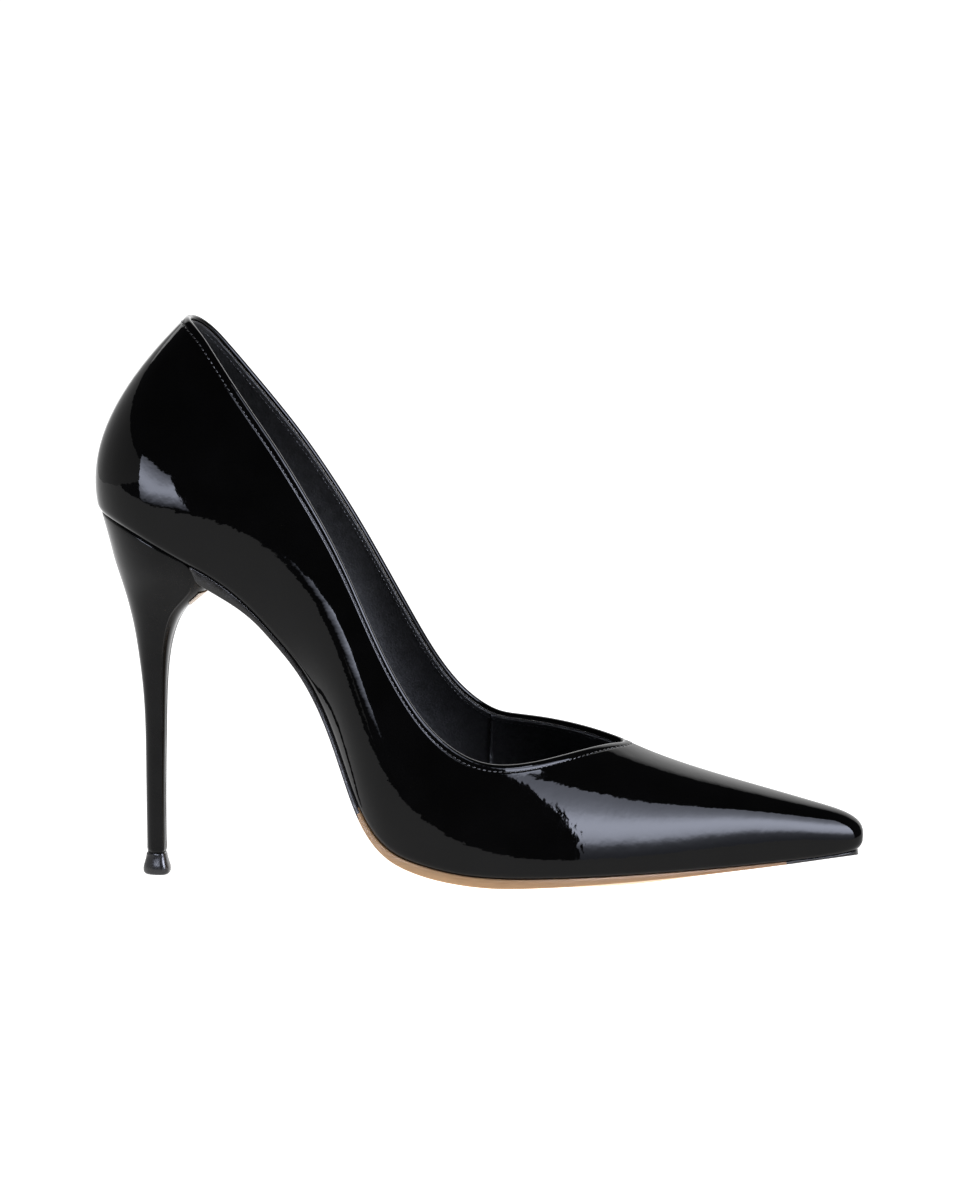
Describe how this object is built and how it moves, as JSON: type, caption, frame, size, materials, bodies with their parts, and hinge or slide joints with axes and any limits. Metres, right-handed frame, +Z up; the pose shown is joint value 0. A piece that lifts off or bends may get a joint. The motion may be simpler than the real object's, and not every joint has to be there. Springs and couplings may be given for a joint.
{
  "type": "high heel pump",
  "caption": "Pointed pump for the right foot in black patent leather, with a slim stiletto heel, a low V-shaped topline, dark lining and a thin leather sole.",
  "frame": {"origin": "on the ground under the middle of the shoe: the bottom centre of its bounding box", "axes": "+X points to the toe, +Z is up, -Y is the outer side of a right foot"},
  "size_m": [0.2297, 0.0752, 0.1696],
  "materials": {
    "patent": "gloss",
    "lining": "matte",
    "sock": "matte",
    "sole_leather": "satin",
    "heel_leather": "gloss",
    "backing_cloth": "matte",
    "stiffener": "matte",
    "thread": "satin",
    "board": "matte",
    "foam": "matte",
    "filler": "matte",
    "steel": "satin",
    "heel_plastic": "matte",
    "tip_plastic": "gloss"
  },
  "bodies": {
    "root": {"upper": "patent", "topline_stitching": "thread", "topline_tape": "backing_cloth", "heel_counter": "stiffener", "toe_puff": "stiffener", "quarter_backer_lateral": "backing_cloth", "quarter_backer_medial": "backing_cloth", "vamp_backer": "backing_cloth", "quarter_lining": "lining", "vamp_lining": "lining", "outsole": "sole_leather", "sole_tongue": "sole_leather", "bottom_filler": "filler", "steel_shank": "steel", "insole_board": "board", "shank_board": "board", "ball_cushion": "foam", "sock_lining": "sock", "shank_rivets": "steel", "heel_screw": "steel", "heel_nails": "steel", "heel_core": "heel_plastic", "heel_cover": "heel_leather", "heel_tube": "steel", "top_piece": "tip_plastic", "top_piece_pin": "steel"}
  },
  "joints": []
}
